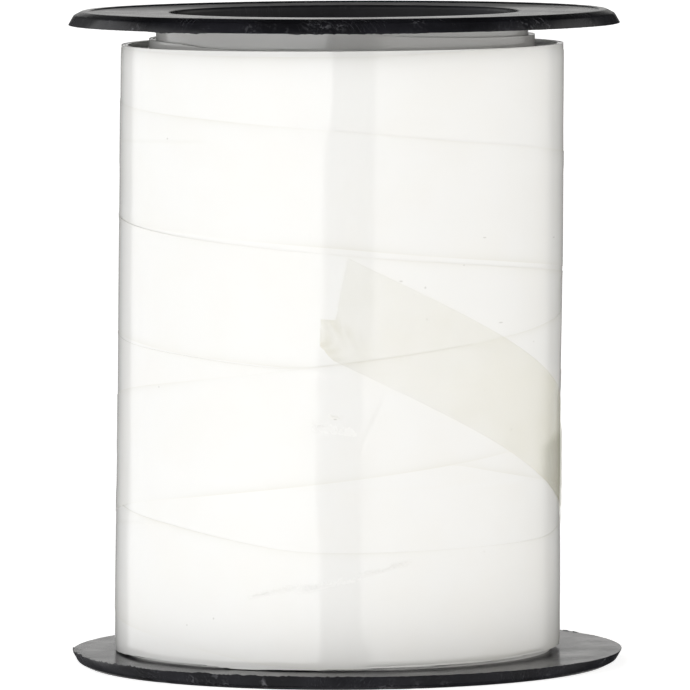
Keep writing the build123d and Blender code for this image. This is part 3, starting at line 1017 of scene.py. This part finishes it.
class RIBBON_OT_stage(RibbonReelOperator, bpy.types.Operator):
    """Add the camera, the soft light and the pale floor"""

    bl_idname = "ribbon_reel.stage"
    bl_label = "Stage"

    def execute(self, context):
        settings = self.settings
        stage = settings.stage
        camera = bpy.data.objects.new("camera", bpy.data.cameras.new("camera"))
        camera.data.lens = stage.lens
        camera.data.sensor_width = 36
        camera.data.clip_end = 50
        place = Matrix.Translation((-0.1 * MM, -stage.distance, stage.height))
        aim = Matrix.Rotation(math.pi / 2 - stage.tilt, 4, "X") @ Matrix.Rotation(stage.roll, 4, "Z")
        camera.matrix_world = place @ aim
        context.scene.collection.objects.link(camera)
        context.scene.camera = camera
        context.scene.view_settings.view_transform = "Standard"
        self.light(context, stage)
        side = 9.0
        points = np.array([(-side, -side, 0), (side, -side, 0), (side, side, 0), (-side, side, 0)])
        floor = make_object("floor", points, np.array([(0, 1, 2, 3)]))
        floor.data.materials.append(floor_finish(settings))
        floor.visible_glossy = False
        return {"FINISHED"}

    def light(self, context, stage):
        """A world of soft boxes: a colour ramp over the angle round the reel, faded out overhead and below."""
        world = bpy.data.worlds.new("studio")
        world.use_nodes = True
        context.scene.world = world
        tree = world.node_tree
        background = tree.nodes["Background"]
        x, y, z = axes(tree, tree.nodes.new("ShaderNodeTexCoord").outputs["Generated"])
        angle = math_node(tree, "ARCTAN2", x, times(tree, y, -1.0))
        share = plus(tree, times(tree, angle, 1 / FULL_TURN), 0.5)
        boxes = add_node(tree, "ShaderNodeValToRGB", Fac=share)
        brightest = max(level for _, level in STUDIO)
        stops = boxes.color_ramp.elements
        stops.remove(stops[0])
        for number, (degrees, level) in enumerate(STUDIO):
            stop = stops[0] if number == 0 else stops.new(degrees / 360 + 0.5)
            stop.position = degrees / 360 + 0.5
            stop.color = (*(3 * (level / brightest,)), 1)
        overhead = ramp(tree, z, 0.42, 0.62, 1.0, 0.0)
        below = ramp(tree, z, -0.45, -0.25, 0.25, 1.0)
        level = times(tree, boxes.outputs["Color"], times(tree, overhead, below))
        level = times(tree, level, brightest * stage.light)
        seen = tree.nodes.new("ShaderNodeLightPath").outputs["Is Camera Ray"]
        strength = tree.nodes.new("ShaderNodeMix")
        tree.links.new(seen, strength.inputs[0])
        tree.links.new(level, strength.inputs[2])
        strength.inputs[3].default_value = 1.0
        tree.links.new(strength.outputs[0], background.inputs["Strength"])
        tint = mixed_colour(tree, ramp(tree, x, -0.25, 0.35), (1.0, 1.0, 0.997), (1.0, 0.984, 0.955))
        tree.links.new(tint, background.inputs["Color"])


class RIBBON_OT_reel_halves(RibbonReelOperator, bpy.types.Operator):
    """Add the two moulded reel halves"""

    bl_idname = "ribbon_reel.reel_halves"
    bl_label = "Reel halves"

    def execute(self, context):
        settings = self.settings
        plastic = reel_plastic(settings)
        lower = reel_half(settings, "lower_flange_and_hub", True, 1, LOWER_FLASH)
        finish_piece(lower, plastic, "reel", "reel_plastic", "lower_reel_half")
        upper = reel_half(settings, "upper_flange_and_hub", False, 2, UPPER_FLASH)
        finish_piece(upper, plastic, "reel", "reel_plastic", "upper_reel_half")
        return {"FINISHED"}


class RIBBON_OT_inner_layers(RibbonReelOperator, bpy.types.Operator):
    """Add the innermost layers, which reach the upper flange, and the stepped layer outside them"""

    bl_idname = "ribbon_reel.inner_layers"
    bl_label = "Inner layers"

    def execute(self, context):
        settings = self.settings
        film = ribbon_film(settings)
        hub = settings.reel.bore_radius + settings.reel.hub_wall
        inner = straight_ring(
            settings,
            "wound_inner_layers",
            lambda a: INNER_RADIUS + 0 * a,
            hub,
            lambda a: UPPER_FACE + 0 * a,
            4,
            0.05 * MM,
            5,
        )
        finish_piece(inner, film, "reel", "ribbon", "ribbon_inner_layers")
        edge = np.array(STEP_EDGE)
        stepped = straight_ring(
            settings,
            "wound_stepped_layer",
            lambda a: np.interp(np.degrees(a), edge[:, 0], edge[:, 2] * MM),
            INNER_RADIUS - 0.25 * MM,
            lambda a: np.interp(np.degrees(a), edge[:, 0], edge[:, 1] * MM),
            7,
            0.12 * MM,
            6,
        )
        finish_piece(stepped, film, "reel", "ribbon", "ribbon_stepped_layer")
        for slot in frame["nodes"]["ribbon_start_tape"].material_slots:
            slot.link = "OBJECT"
            slot.material = tape_film(settings)
        return {"FINISHED"}


class RIBBON_OT_main_pack(RibbonReelOperator, bpy.types.Operator):
    """Add the main pack of wound ribbon with its recessed top face and raised outer rim"""

    bl_idname = "ribbon_reel.main_pack"
    bl_label = "Main pack"

    def execute(self, context):
        settings = self.settings
        ribbon = settings.ribbon
        winding = Winding(settings)
        random = np.random.default_rng(settings.seed + 9)
        segments = RING_SEGMENTS
        angle = np.arange(segments)[:, None] * FULL_TURN / segments
        rim_top = COVER_TOP + 0.06 * MM * np.sin(2 * angle + 1.0) - 0.06 * MM
        rows = np.concatenate((np.linspace(0, 0.014, 12, endpoint=False), np.linspace(0.014, 1, 112)))
        height = LOWER_FACE + (rim_top - LOWER_FACE) * rows[None, :]
        radius = winding.base_radius(angle, height)
        shift = winding.lean(height)
        outside = radius[:, -1:] - 0.06 * MM
        rim_top = rim_top - 0.01 * MM
        rim_depth, rim_height = layered_top(segments, 0.0, ribbon.rim_width, rim_top, 5, 0.12 * MM, random)
        rim_radius = outside - rim_depth
        floor_out = outside - ribbon.rim_width - 0.02 * MM
        share = np.linspace(0, 1, 2 * 16)[None, :]
        _, floor_height = layered_top(segments, 0, 1, PACK_TOP + 0.05 * MM, 16, 0.45 * MM, random)
        floor_radius = floor_out + (STEP_RADIUS + 0.02 * MM - floor_out) * share
        radius = np.concatenate((radius, rim_radius, floor_radius), axis=1)
        height = np.concatenate((height, rim_height, floor_height), axis=1)
        fade = np.concatenate((np.ones_like(rim_radius), (1 - share) + 0 * floor_radius), axis=1)
        shift = np.concatenate((shift, fade * winding.lean(COVER_TOP)), axis=1)
        made = ring_object(
            "wound_main_pack", angle, radius, height, shift, STEP_RADIUS + 0.02 * MM, LOWER_FACE, ribbon.width
        )
        finish_piece(made, ribbon_film(settings), "reel", "ribbon", "ribbon_main_pack")
        return {"FINISHED"}


class RIBBON_OT_outer_turns(RibbonReelOperator, bpy.types.Operator):
    """Add the outermost turns of the ribbon, up to where its end starts to peel"""

    bl_idname = "ribbon_reel.outer_turns"
    bl_label = "Outer turns"

    def execute(self, context):
        settings = self.settings
        winding = Winding(settings)
        first, last = winding.first, PEEL_TURN + peel_angle()
        along = winding_grid(first, last)[:, None]
        share = strip_shares(24)[None, :]
        lift = edge_curl(along, share)
        outer, inner, uvs, route = strip_points(winding, along, share, NEVER, lift)
        made = film_object("wound_outer_turns", outer, inner, uvs, route, grime=edge_grime(along, share))
        finish_piece(made, ribbon_film(settings), "reel", "ribbon", "ribbon_cover_turns")
        return {"FINISHED"}


def peel_angle():
    """Angle of the peel hinge from the front, from the joint's place."""
    x, y, _ = PEEL_JOINT["pos_m"]
    return math.atan2(x, -y)


def blend_over_peel(piece):
    """Bakes the piece's transform into its mesh; the piece is not bent over the peel."""
    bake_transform(piece)


class RIBBON_OT_loose_end(RibbonReelOperator, bpy.types.Operator):
    """Add the loose end of the ribbon, cut off at a slant"""

    bl_idname = "ribbon_reel.loose_end"
    bl_label = "Loose end"

    def execute(self, context):
        settings = self.settings
        winding = Winding(settings)
        tape = settings.tape
        first = PEEL_TURN + peel_angle()
        share = strip_shares(30)[None, :]
        last = PEEL_TURN + tape.ribbon_end + tape.ribbon_slant * (1 - share)
        along = first + (last - first) * np.linspace(0, 1, 130)[:, None]
        near_end = np.exp(-(last - along) * settings.ribbon.pack_radius_high / (3 * MM))
        lift = edge_curl(along, share) + 0.06 * MM * near_end
        outer, inner, uvs, route = strip_points(winding, along, share, NEVER, lift)
        made = film_object("peeling_ribbon_end", outer, inner, uvs, route, grime=edge_grime(along, share))
        made.data.materials.append(ribbon_film(settings))
        blend_over_peel(made)
        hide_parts("ribbon_loose_end")
        return {"FINISHED"}


class RIBBON_OT_end_tape(RibbonReelOperator, bpy.types.Operator):
    """Add the clear tape that holds the loose end down"""

    bl_idname = "ribbon_reel.end_tape"
    bl_label = "End tape"

    def execute(self, context):
        settings = self.settings
        winding = Winding(settings)
        ribbon, tape = settings.ribbon, settings.tape
        along = np.linspace(0, tape.length, 230)[:, None]
        across = tape.width * (strip_shares(44)[None, :] - 0.5)  # from the upper edge to the lower edge
        share = across / tape.width + 0.5
        slope = tape.slope
        end = np.array(TAPE_END)
        torn = np.interp(share, end[:, 0], end[:, 1] * MM)
        torn = torn + 0.06 * MM * np.sin(61 * (share - 0.5)) + 0.05 * MM * np.sin(143 * (share - 0.5))
        along = along + torn * (1 - along / tape.length) ** 12
        flat_x = along * math.cos(slope) - across * math.sin(slope) * 0.55
        height = tape.height - along * math.sin(slope) - across * math.cos(slope)
        height = height + 1.2 * MM * (1 - share) * (along / tape.length) ** 2
        angle = tape.start + flat_x / ribbon.pack_radius_high
        last = PEEL_TURN + tape.ribbon_end + tape.ribbon_slant / 2
        layers = winding.layers_under(angle + PEEL_TURN + FULL_TURN, height, last)
        below_end = winding.lower_edge(angle + PEEL_TURN) - height
        # loose lifts the tape off the ribbon, and the Tape Film material also paints a dark olive shadow
        # wherever it is set.
        loose = smooth_step(below_end / (1.5 * MM)) * smooth_step((angle / DEGREE - 61) / 9)
        loose = loose * smooth_step((105 - angle / DEGREE) / 12)
        crumple = np.exp(-(((along + 1 * MM) / (4.2 * MM)) ** 2)) * smooth_step((across - 1 * MM) / (2 * MM))
        folds = np.abs(np.sin(1500 * along + 400 * across + 2.2 * np.sin(900 * across)))
        folds = folds * (0.6 + 0.4 * np.sin(1250 * across - 500 * along))
        wrinkles = np.abs(np.sin(900 * along - 1300 * across + 1.7 * np.sin(700 * along)))
        lift = 0.05 * MM * crumple * folds + loose * (0.14 * MM + 0.05 * MM * wrinkles) + 0.012 * MM
        radius = winding.base_radius(angle, height) + ribbon.thickness * layers + tape.thickness + lift
        shift = winding.lean(height)
        outer = placed(angle, radius, height, shift)
        inner = placed(angle, radius - 0.9 * tape.thickness, height, shift)
        uvs = np.stack(np.broadcast_arrays(along / tape.width, share), axis=-1)
        route = np.stack(np.broadcast_arrays(angle / DEGREE, height / MM), axis=-1)
        creased = crumple * folds
        made = film_object("clear_tape_over_end", outer, inner, uvs, route, loose=loose, creased=creased)
        made.data.materials.append(tape_film(settings))
        blend_over_peel(made)
        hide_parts("clear_end_tape")
        return {"FINISHED"}


class RIBBON_PT_panel(bpy.types.Panel):
    """The reel's settings and its steps, in the order that they are made"""

    bl_idname = "RIBBON_PT_panel"
    bl_label = "Ribbon Reel"
    bl_space_type = "VIEW_3D"
    bl_region_type = "UI"
    bl_category = "Ribbon Reel"

    def draw(self, context):
        settings = context.scene.ribbon_reel
        for group in (settings.reel, settings.ribbon, settings.tape, settings.stage):
            box = self.layout.box()
            for key in group.__annotations__:
                box.prop(group, key)
        self.layout.prop(settings, "seed")
        for operator in OPERATORS:
            self.layout.operator(operator.bl_idname)


OPERATORS = (
    RIBBON_OT_stage,
    RIBBON_OT_reel_halves,
    RIBBON_OT_inner_layers,
    RIBBON_OT_main_pack,
    RIBBON_OT_outer_turns,
    RIBBON_OT_loose_end,
    RIBBON_OT_end_tape,
)
SETTINGS = (ReelSettings, RibbonSettings, TapeSettings, StageSettings, RibbonReelSettings)
CLASSES = (*SETTINGS, *OPERATORS, RIBBON_PT_panel)


def register():
    for item in CLASSES:
        bpy.utils.register_class(item)
    bpy.types.Scene.ribbon_reel = PointerProperty(type=RibbonReelSettings)


def unregister():
    del bpy.types.Scene.ribbon_reel
    for item in reversed(CLASSES):
        bpy.utils.unregister_class(item)


def main():
    register()
    bpy.ops.ribbon_reel.stage()
    bpy.ops.ribbon_reel.reel_halves()
    bpy.ops.ribbon_reel.inner_layers()
    bpy.ops.ribbon_reel.main_pack()
    bpy.ops.ribbon_reel.outer_turns()
    bpy.ops.ribbon_reel.loose_end()
    bpy.ops.ribbon_reel.end_tape()


if __name__ == "__main__":
    main()
